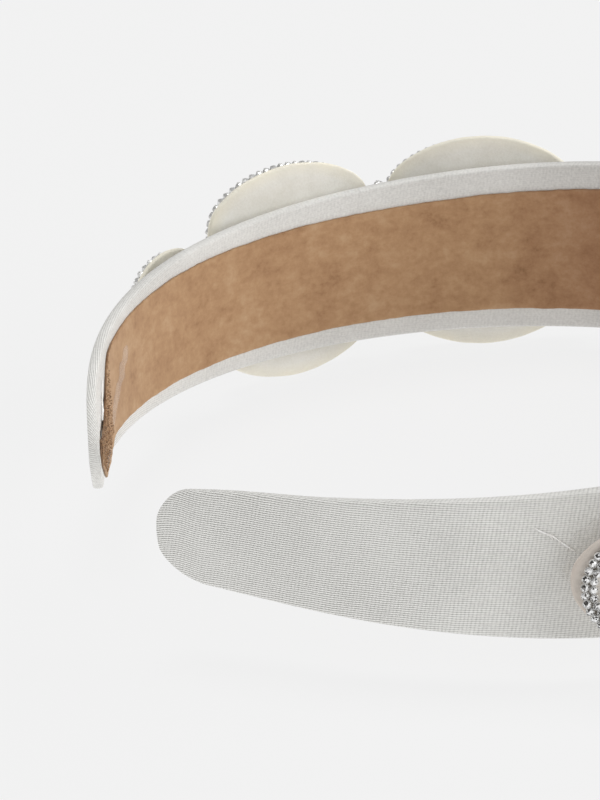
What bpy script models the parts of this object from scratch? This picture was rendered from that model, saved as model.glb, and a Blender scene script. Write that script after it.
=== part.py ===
"""A satin-covered alice band with felt-backed rhinestone medallions, lying on its side.

The band bends in the XY plane: its crown faces +X, its two tips nearly meet at -X, and its width runs
along Z. It rests on the lower rims of the medallions, at z = 0. Left is +Y and right is -Y.
Distances along the band, s, start at the crown, where it is bent evenly to both sides, and are positive to
the left. The row of medallions is centred close to there.
"""

import math

import bmesh
import bpy
import numpy as np
from mathutils import Vector

# Driving dimensions, in metres.
LEFT_ARM = 0.1890  # along the band from the crown to the left tip
RIGHT_ARM = 0.2028  # the same to the right tip
BEND = (13.65, 18.2, -13.2, -33.2)  # curvature (1/m) at the crown, and its growth with u**2, u**4, u**6
BEND_LENGTH = 0.2033  # the distance from the crown at which u is 1
BAND_WIDTH = 0.0325  # the width that a long arm would reach; the crown is 30.3 mm wide
TIP_WIDTH = 0.0132  # the width that the taper runs down to
TAPER = 0.0920  # the distance over which an arm narrows
TIP_ROUND = 0.0085  # length of the rounded end

FABRIC = 0.0003
LINING = 0.00035
GAP = 0.00028  # left between two pieces that touch on the real band
BAND_THICKNESS = 0.0021
EDGE_ROUND = 0.0005
FLAP = 0.0038  # how far the satin folds over onto the inner face

HINGE = 0.0550  # along the band from the crown to the place where an arm flexes
SPLIT = 0.0007  # the slit left in the band there

LIFT = 0.0026  # height of a large medallion's felt over the satin
END_LIFT = 0.0042  # the same for the small end medallions, which stand on a taller dab of glue
FELT = 0.0009
ROW_AT = -0.0013  # the middle of the row of medallions, along the band
LARGE = (0.0200, 0.0179)  # half axes of the ellipse that a large medallion's felt is cut from
LARGE_AT = (0.0, 0.0372, 0.0744, 0.1042)  # from the row's middle, to both sides
END_FELT = (0.0100, 0.0090)
END_AT = 0.1260
END_RISE = {"left": 0.0013, "right": -0.0016}  # height of the end medallions off the band's centre line
END_CUT = 0.0085  # how far an end medallion may reach towards the crown
CLEARANCE = 0.0005  # from a felt to the plane where it would meet the next one
HINGE_CLEARANCE = 0.0011
CORNER = 0.0022  # rounding of a felt's corners

FELT_MARGIN = 0.0001  # felt left showing round the rhinestone chain of a large medallion
END_FELT_MARGIN = 0.0010
CHAIN_WIDTH = 0.0028  # two rows of small stones in their metal cups, side by side
CHAIN_HEIGHT = 0.0019
CUP_SLOPE = 0.0003  # how far the tables of the stones lie in from the foot of the cups
PEARL = (0.0072, 0.0112, 0.0042)  # half axes and height
END_PEARL = (0.0042, 0.0033, 0.0026)
FILLER = 0.0011  # half the size of a single stone
FILLER_AT = 0.0893  # from the row's middle: the notch between the two large medallions of an arm
FILLER_DROP = 0.0024  # from the band's edge to the stone's middle

LARGE_SIDES = 32
END_SIDES = 20

STATION = 0.0056  # spacing of the sections along the band
SAMPLES = 4000

COLOURS = {
    "core_plastic": ((0.86, 0.86, 0.84), 0.45, 0.0),
    "satin": ((0.80, 0.80, 0.78), 0.35, 0.0),
    "suede": ((0.42, 0.27, 0.16), 0.95, 0.0),
    "felt": ((0.82, 0.79, 0.70), 0.95, 0.0),
    "glue": ((0.85, 0.84, 0.80), 0.25, 0.0),
    "rhinestone": ((0.82, 0.83, 0.85), 0.12, 0.6),
    "pearl": ((0.86, 0.82, 0.74), 0.25, 0.0),
}


def clear_scene():
    for obj in list(bpy.data.objects):
        bpy.data.objects.remove(obj, do_unlink=True)


# ---------------------------------------------------------------- the band's centre line


def turn(s):
    """Angle that the band has turned through at s."""
    u = s / BEND_LENGTH
    return BEND_LENGTH * sum(k * u ** (2 * i + 1) / (2 * i + 1) for i, k in enumerate(BEND))


def trace():
    """Points of the inner face's centre line, from the right tip to the left one."""
    s = np.linspace(-RIGHT_ARM, LEFT_ARM, SAMPLES)
    angle = np.array([turn(v) for v in s])
    heading = np.stack([-np.sin(angle), np.cos(angle)], axis=1)
    steps = (heading[1:] + heading[:-1]) / 2 * np.diff(s)[:, None]
    line = np.vstack([np.zeros(2), np.cumsum(steps, axis=0)])
    crown = [np.interp(0.0, s, line[:, axis]) for axis in (0, 1)]
    return s, line - crown


LINE_S, LINE = trace()


def at(s, out=0.0, z=0.0):
    """The point at s, this far outside the band's inner face, at height z."""
    x, y = (np.interp(s, LINE_S, LINE[:, axis]) for axis in (0, 1))
    angle = turn(s)
    return Vector((x + out * math.cos(angle), y + out * math.sin(angle), z))


def to_tip(s):
    return LEFT_ARM - s if s > 0 else RIGHT_ARM + s


def half_width(s):
    t = max(to_tip(s), 0.0)
    width = BAND_WIDTH + (TIP_WIDTH - BAND_WIDTH) * math.exp(-t / TAPER)
    roundness = 1 - (1 - min(t / TIP_ROUND, 1.0)) ** 2
    return width / 2 * math.sqrt(roundness)


def stations(start, end):
    count = max(2, math.ceil(abs(end - start) / STATION))
    return [start + (end - start) * i / count for i in range(count + 1)]


def tip_stations(hinge_side, tip):
    """Stations from a hinge to a tip, closer together where the end is rounded."""
    sign = 1 if tip > 0 else -1
    straight = tip - sign * TIP_ROUND
    ends = [tip - sign * TIP_ROUND * f for f in (0.75, 0.5, 0.3, 0.15, 0.05)]
    return stations(hinge_side, straight) + ends


# ---------------------------------------------------------------- solids


def add_loft(bm, loops):
    """A closed solid through loops of equal length, capped at both ends."""
    rings = [[bm.verts.new(p) for p in loop] for loop in loops]
    n = len(rings[0])
    for a, b in zip(rings, rings[1:]):
        for i in range(n):
            bm.faces.new((a[i], a[(i + 1) % n], b[(i + 1) % n], b[i]))
    bm.faces.new(rings[0][::-1])
    bm.faces.new(rings[-1])


def add_ring(bm, tracks, place):
    """A closed ring through outlines, each with its distance outward, given round the ring's section."""
    rings = [[bm.verts.new(place(p, out)) for p in outline] for outline, out in tracks]
    n = len(rings[0])
    for a, b in zip(rings, rings[1:] + rings[:1]):
        for i in range(n):
            bm.faces.new((a[i], a[(i + 1) % n], b[(i + 1) % n], b[i]))


def add_plate(bm, outline, low, high, place):
    add_loft(bm, [[place(p, low) for p in outline], [place(p, high) for p in outline]])


def material(name):
    found = bpy.data.materials.get(name)
    if found:
        return found
    colour, roughness, metallic = COLOURS[name]
    made = bpy.data.materials.new(name)
    made.use_nodes = True
    shader = made.node_tree.nodes["Principled BSDF"]
    shader.inputs["Base Color"].default_value = (*colour, 1.0)
    shader.inputs["Roughness"].default_value = roughness
    shader.inputs["Metallic"].default_value = metallic
    return made


def add_object(name, bm, finish, pivot, smooth=False):
    """Makes the object, with its origin at the empty that it moves with."""
    bmesh.ops.recalc_face_normals(bm, faces=bm.faces)
    bmesh.ops.translate(bm, verts=bm.verts, vec=-pivot.location)
    mesh = bpy.data.meshes.new(name)
    bm.to_mesh(mesh)
    bm.free()
    mesh.materials.append(material(finish))
    if smooth:
        mesh.shade_smooth()
        mesh.set_sharp_from_angle(angle=math.radians(40))
    obj = bpy.data.objects.new(name, mesh)
    bpy.context.scene.collection.objects.link(obj)
    obj.parent = pivot
    return obj


def add_pivot(name, location):
    pivot = bpy.data.objects.new(name, None)
    pivot.empty_display_size = 0.01
    pivot.location = location
    bpy.context.scene.collection.objects.link(pivot)
    return pivot


# ---------------------------------------------------------------- the covered band


def strip_loop(s, half, low, high):
    return [at(s, out, z) for out, z in ((low, -half), (high, -half), (high, half), (low, half))]


def cover_loop(s):
    """Section of the satin: it wraps the outer face and both edges, and ends in two flaps inside."""
    wide, thick, r = half_width(s), BAND_THICKNESS, min(EDGE_ROUND, half_width(s) / 3)
    flap = max(wide - FLAP, wide * 0.1)
    upper = [
        (0.0, flap),
        (0.0, wide - r),
        (r, wide),
        (thick - r, wide),
        (thick, wide - r),
        (thick - FABRIC, wide - r),
        (thick - r, wide - FABRIC),
        (r, wide - FABRIC),
        (FABRIC, wide - r),
        (FABRIC, flap),
    ]
    outside, inside = upper[:5], upper[5:]
    lower_outside = [(out, -z) for out, z in outside]
    lower_inside = [(out, -z) for out, z in inside]
    section = outside + lower_outside[::-1] + lower_inside[::-1] + inside
    return [at(s, out, z) for out, z in section]


def add_band(side, places, pivot):
    """The core, cover and lining of one stretch of the band."""
    core_low = LINING + GAP
    core_high = BAND_THICKNESS - FABRIC - GAP
    edge = FABRIC + GAP
    core = [s for s in places if half_width(s) > 0.0022]
    lining = [s for s in places if half_width(s) > FLAP + 0.0020]
    bm = bmesh.new()
    add_loft(bm, [strip_loop(s, half_width(s) - edge, core_low, core_high) for s in core])
    add_object("core_" + side, bm, "core_plastic", pivot)
    bm = bmesh.new()
    add_loft(bm, [cover_loop(s) for s in places])
    add_object("satin_cover_" + side, bm, "satin", pivot)
    bm = bmesh.new()
    add_loft(bm, [strip_loop(s, half_width(s) - FLAP - GAP, 0.0, LINING) for s in lining])
    add_object("suede_lining_" + side, bm, "suede", pivot)


# ---------------------------------------------------------------- medallions


def ellipse(a, b, count):
    """An outline whose lowest and highest edges are level, so that a felt has a flat to stand on."""
    turns = [2 * math.pi * (i + 0.5) / count - math.pi / 2 for i in range(count)]
    return [(a * math.cos(t), b * math.sin(t)) for t in turns]


def clipped(a, b, reaches, count):
    """An ellipse whose right and left ends are pulled in smoothly to how far each may reach."""
    power = a / CORNER
    points = []
    for x, z in ellipse(a, b, count):
        reach = reaches[1] if x > 0 else reaches[0]
        points.append((x / (1 + abs(x / reach) ** power) ** (1 / power), z))
    return points


def middle_and_half(outline):
    """Where an outline's middle is along the band, and its half length."""
    low, high = min(x for x, _ in outline), max(x for x, _ in outline)
    return (low + high) / 2, (high - low) / 2


def inset(outline, depth):
    """The outline moved inward by a distance."""
    middle, a = middle_and_half(outline)
    b = max(z for _, z in outline)
    return [(middle + (x - middle) * (a - depth) / a, z * (b - depth) / b) for x, z in outline]


def add_dome(bm, a, b, height, low, place, count=16):
    """Half of an ellipsoid: rings that shrink as they rise, closed by a flat top and a flat base."""
    loops = []
    for share in (0.0, 0.4, 0.75, 0.95):
        shrink = math.sqrt(1 - share**2)
        loops.append([place(p, low + height * share) for p in ellipse(a * shrink, b * shrink, count)])
    add_loft(bm, loops)


def medallion_frame(s, z):
    """Turns (along, up) and a distance from the band's inner face into a point."""
    centre, angle = at(s), turn(s)
    along = Vector((-math.sin(angle), math.cos(angle), 0.0))
    outward = Vector((math.cos(angle), math.sin(angle), 0.0))

    def place(p, out):
        return centre + along * p[0] + outward * out + Vector((0.0, 0.0, z + p[1]))

    return place


def row():
    """Places of all the medallions along the band, from the right end one to the left end one."""
    offsets = {v * sign for v in (*LARGE_AT, END_AT) for sign in (1, -1)}
    return [ROW_AT + v for v in sorted(offsets)]


def meeting_plane(s, next_s):
    """Distance along a large medallion's own plane to where it meets the next one's."""
    half_turn = abs(turn(next_s) - turn(s)) / 2
    chord = (at(next_s) - at(s)).length / 2
    return chord / math.cos(half_turn) + (BAND_THICKNESS + LIFT) * math.tan(half_turn)


def edge_of_end(s, end_s):
    """Distance along a large medallion's own plane to the nearest edge of the end medallion beside it."""
    way = 1 if end_s > s else -1
    along = Vector((-math.sin(turn(s)), math.cos(turn(s)), 0.0)) * way
    edge = medallion_frame(end_s, 0.0)((-way * END_CUT, 0.0), BAND_THICKNESS + END_LIFT)
    return (edge - at(s)).dot(along)


def reaches(s):
    """How far the medallion at s may reach to the right and to the left."""
    places = row()
    i = places.index(s)
    if i == 0:
        return END_FELT[0] * 2, END_CUT
    if i == len(places) - 1:
        return END_CUT, END_FELT[0] * 2
    found = []
    for j in (i - 1, i + 1):
        if j in (0, len(places) - 1):
            found.append(edge_of_end(s, places[j]) - CLEARANCE)
            continue
        crosses_hinge = min(abs(s), abs(places[j])) < HINGE < max(abs(s), abs(places[j]))
        found.append(meeting_plane(s, places[j]) - (HINGE_CLEARANCE if crosses_hinge else CLEARANCE))
    return tuple(found)


def add_medallion(label, s, z, outline, margin, lift, pearl, pivot):
    """One medallion: its dab of glue, its felt, its double chain of rhinestones and its half pearl."""
    place = medallion_frame(s, z)
    felt_low = BAND_THICKNESS + lift
    felt_high = felt_low + FELT
    foot = felt_high + GAP
    table = foot + CHAIN_HEIGHT
    middle, half_length = middle_and_half(outline)

    def place_middle(p, out):
        return place((p[0] + middle, p[1]), out)

    bm = bmesh.new()
    dab = ellipse(0.4 * half_length, 0.5 * max(v for _, v in outline), 12)
    add_plate(bm, dab, BAND_THICKNESS + GAP, felt_low - GAP, place)
    add_object("glue_pad_" + label, bm, "glue", pivot)
    bm = bmesh.new()
    add_plate(bm, outline, felt_low, felt_high, place)
    add_object("felt_backing_" + label, bm, "felt", pivot)
    bm = bmesh.new()
    inner = margin + CHAIN_WIDTH
    tracks = [(inset(outline, margin), foot), (inset(outline, margin + CUP_SLOPE), table)]
    tracks += [(inset(outline, inner - CUP_SLOPE), table), (inset(outline, inner), foot)]
    add_ring(bm, tracks, place)
    add_object("rhinestone_chain_" + label, bm, "rhinestone", pivot)
    bm = bmesh.new()
    add_dome(bm, *pearl, foot, place_middle)
    add_object("half_pearl_" + label, bm, "pearl", pivot, smooth=True)


def add_large_medallions(label, places, pivot):
    for i, s in enumerate(places, 1):
        outline = clipped(*LARGE, reaches(s), LARGE_SIDES)
        add_medallion(f"{label}_{i}", s, 0.0, outline, FELT_MARGIN, LIFT, PEARL, pivot)


def add_end_medallion(side, s, pivot):
    outline = clipped(*END_FELT, reaches(s), END_SIDES)
    add_medallion(f"{side}_end", s, END_RISE[side], outline, END_FELT_MARGIN, END_LIFT, END_PEARL, pivot)


def add_fillers(side, s, pivot):
    """Single stones in cups, in the notch between two medallions, at the band's upper and lower edges."""
    low = BAND_THICKNESS + GAP
    heights = (0.0, LIFT, LIFT + CHAIN_HEIGHT)
    sizes = (FILLER, FILLER, FILLER * 0.6)
    for edge, up in (("upper", 1), ("lower", -1)):
        place = medallion_frame(s, up * (half_width(s) - FILLER_DROP))
        bm = bmesh.new()
        add_loft(bm, [[place(p, low + h) for p in ellipse(r, r, 8)] for h, r in zip(heights, sizes)])
        add_object(f"filler_stone_{side}_{edge}", bm, "rhinestone", pivot, smooth=True)


def settle():
    """Moves the whole band so that its box is centred over the origin and its lowest rims are at z = 0."""
    bpy.context.view_layer.update()
    meshes = [obj for obj in bpy.data.objects if obj.type == "MESH"]
    corners = np.array([obj.matrix_world @ v.co for obj in meshes for v in obj.data.vertices])
    low, high = corners.min(axis=0), corners.max(axis=0)
    shift = Vector((-(low[0] + high[0]) / 2, -(low[1] + high[1]) / 2, -low[2]))
    for obj in bpy.data.objects:
        if obj.type == "EMPTY":
            obj.location += shift


def main():
    clear_scene()
    half = SPLIT / 2
    middle = BAND_THICKNESS / 2
    crown = add_pivot("crown_pivot", Vector((0.0, 0.0, 0.0)))
    left = add_pivot("left_flex_pivot", at(HINGE, middle))
    right = add_pivot("right_flex_pivot", at(-HINGE, middle))
    add_band("crown", stations(-HINGE + half, HINGE - half), crown)
    add_band("left", tip_stations(HINGE + half, LEFT_ARM), left)
    add_band("right", tip_stations(-HINGE - half, -RIGHT_ARM), right)
    places = row()
    add_large_medallions("crown", [s for s in places if abs(s) < HINGE], crown)
    add_large_medallions("left", [s for s in places[:-1] if s > HINGE], left)
    add_large_medallions("right", [s for s in places[:0:-1] if s < -HINGE], right)
    add_end_medallion("left", places[-1], left)
    add_end_medallion("right", places[0], right)
    add_fillers("left", ROW_AT + FILLER_AT, left)
    add_fillers("right", ROW_AT - FILLER_AT, right)
    settle()


main()
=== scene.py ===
"""The looks of the headband: satin, suede, felt, rhinestones, pearls and glue.

The band bends in the XY plane with its crown at +X, and its width runs along Z. Distances along
it, s, start at the crown and are positive to the left (+Y).
"""

import math

import bmesh
import bpy
import numpy as np
from mathutils import Matrix, Vector, noise


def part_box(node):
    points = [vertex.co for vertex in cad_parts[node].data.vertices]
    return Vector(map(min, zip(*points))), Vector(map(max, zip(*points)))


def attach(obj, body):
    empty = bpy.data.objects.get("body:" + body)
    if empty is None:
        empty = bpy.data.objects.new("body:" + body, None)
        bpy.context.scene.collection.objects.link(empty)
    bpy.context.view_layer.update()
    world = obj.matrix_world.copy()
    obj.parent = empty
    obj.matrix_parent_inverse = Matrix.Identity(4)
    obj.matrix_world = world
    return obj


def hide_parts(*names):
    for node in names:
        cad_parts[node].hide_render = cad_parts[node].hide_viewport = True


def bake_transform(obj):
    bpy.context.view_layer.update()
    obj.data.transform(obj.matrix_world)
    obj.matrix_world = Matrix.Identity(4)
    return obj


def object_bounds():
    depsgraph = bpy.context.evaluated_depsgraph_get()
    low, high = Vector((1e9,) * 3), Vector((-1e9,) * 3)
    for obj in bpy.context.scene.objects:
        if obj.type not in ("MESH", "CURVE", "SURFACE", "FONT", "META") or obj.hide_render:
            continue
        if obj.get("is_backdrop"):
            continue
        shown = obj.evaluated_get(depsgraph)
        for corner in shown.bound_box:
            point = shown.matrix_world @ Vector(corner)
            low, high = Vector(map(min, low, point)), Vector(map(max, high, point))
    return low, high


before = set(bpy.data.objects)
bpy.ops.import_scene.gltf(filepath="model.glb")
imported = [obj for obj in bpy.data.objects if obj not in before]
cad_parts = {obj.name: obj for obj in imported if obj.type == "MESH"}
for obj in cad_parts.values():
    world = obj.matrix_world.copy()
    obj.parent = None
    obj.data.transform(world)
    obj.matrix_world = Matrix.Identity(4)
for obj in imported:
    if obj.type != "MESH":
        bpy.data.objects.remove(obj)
cad_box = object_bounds()

# ---- dimensions, in metres

# The band's centre line and outline, as in the CAD source.
LEFT_ARM = 0.1890
RIGHT_ARM = 0.2028
BEND = (13.65, 18.2, -13.2, -33.2)  # curvature (1/m) at the crown, and with u**2, u**4 and u**6
BEND_LENGTH = 0.2033  # the distance from the crown at which u is 1
BAND_WIDTH = 0.0325
TIP_WIDTH = 0.0132
TAPER = 0.0920
TIP_ROUND = 0.0085
BAND_THICKNESS = 0.0021
CORE_TOP = 0.00152  # the outer side of the core
LIFT = 0.0026
END_LIFT = 0.0042
FELT = 0.0009
ROW_AT = -0.0013
LARGE = (0.0200, 0.0179)
LARGE_AT = (0.0, 0.0372, 0.0744, 0.1042)
END_FELT = (0.0100, 0.0090)
END_AT = 0.1260
END_RISE = {"left": 0.0013, "right": -0.0016}
END_CUT = 0.0085
HINGE = 0.0550
CORNER = 0.0022
CLEARANCE = 0.0005
HINGE_CLEARANCE = 0.0011
PEARL = (0.0072, 0.0112, 0.0042)
END_PEARL = (0.0042, 0.0033, 0.0026)
FILLER_AT = 0.0893
FILLER_DROP = 0.0024
FILLER_OUT = 0.0005  # nearer to the band's edge

# What only the looks have.
TIP_THICKNESS = 0.0016  # the plastic strip is thinner at its ends
THINNING = 0.075
NOSE = 0.0010  # rounding of the very end
SATIN = 0.00025
EDGE = 0.0006  # how far the rounded edge reaches in from the band's side
CROWNING = 0.00012  # the outer face stands this much higher in the middle
FOLD = 0.0065  # satin folded over onto the inner face
BLUNT = 0.0060  # length of the rounding of the right tip's upper corner
FULLER = 0.05  # how much further that corner's side stands out, and where
FULLER_TO = 0.030
FULLER_OVER = 0.02
CLOTH_WIDER = 0.0002  # what the cloth adds to the half width at the crown
CLOTH_RISE = 0.0002
CROWN_SHARE = (0.090, 0.045)  # from this far off the tip on, over this length
SATIN_ROW = 0.00035
SATIN_COLUMN = 0.00060
SATIN_SLANT = 0.0026  # across the band, the columns drift by one in this distance
SEAM = 0.00005  # half the slit where two folds meet
CORE_INSET = 0.0003
CORE_END = 0.0006
SUEDE = 0.00035
SUEDE_OFF = 0.00003  # between the satin's folds and the lining
TOP_MARGIN = (0.0019, 0.0042)  # satin left showing over the lining, near the tips and at the crown
LOW_MARGIN = (0.0023, 0.0034)
MARGIN_GROWS = (0.030, 0.120)  # distances from the tip
LINING_END = {"left": 0.0024, "right": 0.0052}  # from the tip to the end of the lining
BLEND_FROM = 0.0523  # x where the crown ends and an arm begins to bend
BLEND_TO = 0.0362

# The lining's right end is rounded. Its left end is cut askew, laid down off the middle, and worn.
ROUNDED = 0.008
ASKEW = (0.1605, 0.1720)  # where the upper edge runs down across the band
ASKEW_HIGH = -0.0009
ASKEW_LOW = (0.008, 0.0002)  # the lower edge comes down over this length, this far past the side
LUMP = (0.1760, 0.0095, 0.0024)  # where the upper edge rises again, over which length, and how far
TONGUE_FROM = 0.1700
TONGUE_LOW = -0.0085
TONGUE_SLOPES = ((0.1748, 0.62), (0.1840, 0.8))  # where its lower edge rises, and how steeply
CLOSING = 0.0022
BLUNT_END = 0.25  # share of the width left at the very end
FRAYED_FROM = 0.1560
FRAYED_OVER = 0.010
TUFTS = (0.1625, 0.1859)

FELT_RIM = 0.0022  # width of the felt's tinted rim
FELT_MARGIN = 0.0004  # felt left showing round the stones
END_MARGIN = {"left": 0.0004, "right": 0.0002}
END_SHRINK = {"left": 0.0006, "right": 0.0}
WEDGE_FLAT = 0.93
WEDGE_HIGH = 0.0007  # the right end felt sits this much higher than its stones
CHAIN_SHIFT = {"left_1": (0.0009, -0.0001), "left_2": (0.0002, 0.0005)}  # off the felt's middle
WEDGE = 0.0009  # how much further the right end felt reaches towards its tip
STONE = 0.00058  # radius
CUTS = 6  # the stone's corners
LARGER = 1.35  # the single stones in the notches
PITCH = 0.00132  # between the middles of two stones
CUP_HEIGHT = 0.00085
PEG = 0.0009  # radius of the glue under a single stone
FILM_GAP = 0.00008  # the lining's nap keeps glue this far off
SEAT = 0.00003  # between pieces that touch

# The camera.
VIEW_AZIMUTH = math.radians(-29.31)
VIEW_ELEVATION = math.radians(21.03)
VIEW_ROLL = math.radians(-4.29)
VIEW_TARGET = Vector((-0.14336, -0.0696, 0.04079))  # from the crown
VIEW_DISTANCE = 1.19
LENS = 377.8

# The light and the floor.
LIGHT_DISTANCE = 1.6
LIGHT_SIZE = 0.9
WORLD_STRENGTH = 0.25
FLOOR_HALF = 6.0
FLOOR_DROP = 0.0002  # under the band


# ---- the band's centre line


def smooth(share):
    """0 below 0, 1 above 1, and an even S between them."""
    share = min(max(share, 0.0), 1.0)
    return share * share * (3 - 2 * share)


def turn(s):
    """Angle that the band has turned through at s."""
    u = s / BEND_LENGTH
    return BEND_LENGTH * sum(k * u ** (2 * i + 1) / (2 * i + 1) for i, k in enumerate(BEND))


def trace(samples=4000):
    """Points of the inner face's centre line, from the right tip to the left one."""
    s = np.linspace(-RIGHT_ARM, LEFT_ARM, samples)
    angle = np.array([turn(v) for v in s])
    heading = np.stack([-np.sin(angle), np.cos(angle)], axis=1)
    steps = (heading[1:] + heading[:-1]) / 2 * np.diff(s)[:, None]
    line = np.vstack([np.zeros(2), np.cumsum(steps, axis=0)])
    crown = [np.interp(0.0, s, line[:, axis]) for axis in (0, 1)]
    return s, line - crown


def crown_point():
    """The middle of the inner face at s = 0, found from the core, which is even about it."""
    low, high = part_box("core_crown")
    return Vector((high.x - CORE_TOP, (low.y + high.y) / 2, (low.z + high.z) / 2))


LINE_S, LINE = trace()
CROWN = crown_point()


def at(s, out=0.0, z=0.0):
    """The point at s, this far outside the band's inner face, at height z over its centre line."""
    x, y = (np.interp(s, LINE_S, LINE[:, axis]) for axis in (0, 1))
    angle = turn(s)
    return CROWN + Vector((x + out * math.cos(angle), y + out * math.sin(angle), z))


def to_tip(s):
    return max(LEFT_ARM - s if s > 0 else RIGHT_ARM + s, 0.0)


def half_width(s):
    t = to_tip(s)
    width = BAND_WIDTH + (TIP_WIDTH - BAND_WIDTH) * math.exp(-t / TAPER)
    return width / 2 * rounding(t, TIP_ROUND)


def crown_share(s):
    """0 at the tips and 1 round the crown."""
    start, length = CROWN_SHARE
    return smooth((to_tip(s) - start) / length)


def cloth_half_width(s):
    """The covered band is a little wider at the crown than the solid one."""
    return half_width(s) + CLOTH_WIDER * crown_share(s)


def cloth_at(s, out, z):
    """A point on the cloth band, whose centre line rises a little towards the crown."""
    return at(s, out, z + CLOTH_RISE * crown_share(s))


def rounding(distance, length):
    """Grows from 0 at an end to 1, as a quarter circle does, over a length."""
    return math.sqrt(1 - (1 - min(distance / length, 1.0)) ** 2)


def thickness(s):
    t = to_tip(s)
    full = TIP_THICKNESS + (BAND_THICKNESS - TIP_THICKNESS) * smooth(t / THINNING)
    return full * rounding(t, NOSE)


def stations(tip, spacing):
    """Places from the crown to a tip, closer and closer together round the end."""
    sign = 1 if tip > 0 else -1
    straight = abs(tip) - TIP_ROUND
    count = math.ceil(straight / spacing)
    even = [sign * straight * i / count for i in range(count)]
    quarter = [math.pi / 2 * i / 12 for i in range(13)]
    return even + [sign * (straight + TIP_ROUND * math.sin(a)) for a in quarter]


# ---- mesh helpers


class Build:
    """Gathers points, faces and what the materials read, and makes one mesh object of them."""

    def __init__(self):
        self.points = []
        self.faces = []
        self.places = []  # two surface coordinates for each point, in metres
        self.shades = []  # one number for each face or point, for the materials

    def point(self, co, place=(0.0, 0.0), shade=0.0):
        self.points.append(tuple(co))
        self.places.append(place)
        self.shades.append(shade)
        return len(self.points) - 1

    def loop(self, cos, places=None, shades=None):
        n = len(cos)
        places = places or [(0.0, 0.0)] * n
        shades = shades or [0.0] * n
        return [self.point(*values) for values in zip(cos, places, shades)]

    def tube(self, rings, capped=True):
        """Joins closed rings of points one after the other, and closes both ends."""
        n = len(rings[0])
        for a, b in zip(rings, rings[1:]):
            for i in range(n):
                j = (i + 1) % n
                self.faces.append((a[i], a[j], b[j], b[i]))
        if capped:
            self.faces += [tuple(rings[0][::-1]), tuple(rings[-1])]

    def spike(self, cos, place, shade):
        """A closed three-sided spike; its tip comes last."""
        a, b, c, d = self.loop(cos, [place] * 4, [shade] * 4)
        self.faces += [(a, b, c), (a, d, b), (b, d, c), (c, d, a)]

    def make(self, name, finish, faceted=False, sharp=None, outward=True):
        """The mesh object; outward turns all its faces outward."""
        mesh = bpy.data.meshes.new(name)
        mesh.from_pydata(self.points, [], self.faces)
        mesh.update()
        layer = mesh.uv_layers.new(name="place")
        loops = np.empty(len(mesh.loops), np.int32)
        mesh.loops.foreach_get("vertex_index", loops)
        layer.data.foreach_set("uv", np.array(self.places, np.float32)[loops].ravel())
        shade = mesh.attributes.new("shade", "FLOAT", "POINT")
        shade.data.foreach_set("value", np.array(self.shades, np.float32))
        mesh.materials.append(MATERIALS[finish])
        if not faceted:
            mesh.shade_smooth()
        if sharp:
            mesh.set_sharp_from_angle(angle=math.radians(sharp))
        if outward:
            shell = bmesh.new()
            shell.from_mesh(mesh)
            bmesh.ops.recalc_face_normals(shell, faces=shell.faces)
            shell.to_mesh(mesh)
            shell.free()
        return link(bpy.data.objects.new(name, mesh))


def link(obj):
    bpy.context.scene.collection.objects.link(obj)
    return obj


def wander(*coordinates, seed=0.0):
    """Smooth noise from -1 to 1, the same each time."""
    x, y, z = (list(coordinates) + [0.0, 0.0])[:3]
    return noise.noise(Vector((x + seed, y - seed, z + 3.1 * seed)))


# ---- materials


class Signal:
    """A number that a shader works out. Arithmetic on it adds Math nodes."""

    def __init__(self, socket):
        self.socket = socket

    def math(self, operation, *values):
        tree = self.socket.id_data
        node = tree.nodes.new("ShaderNodeMath")
        node.operation = operation
        for socket, value in zip(node.inputs, values):
            if isinstance(value, Signal):
                tree.links.new(value.socket, socket)
            else:
                socket.default_value = value
        return Signal(node.outputs[0])

    def __add__(self, other):
        return self.math("ADD", self, other)

    def __sub__(self, other):
        return self.math("SUBTRACT", self, other)

    def __rsub__(self, other):
        return self.math("SUBTRACT", other, self)

    def __mul__(self, other):
        return self.math("MULTIPLY", self, other)

    def __truediv__(self, length):
        return self * (1 / length)

    def __pow__(self, other):
        return self.math("POWER", self, other)

    def __abs__(self):
        return self.math("ABSOLUTE", self)

    def wave(self):
        """One hump from 0 to 1 for each 1 that the signal grows by."""
        return abs(self.math("SINE", self * math.pi))

    def clamped(self):
        return self.math("MINIMUM", self.math("MAXIMUM", self, 0.0), 1.0)


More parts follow.
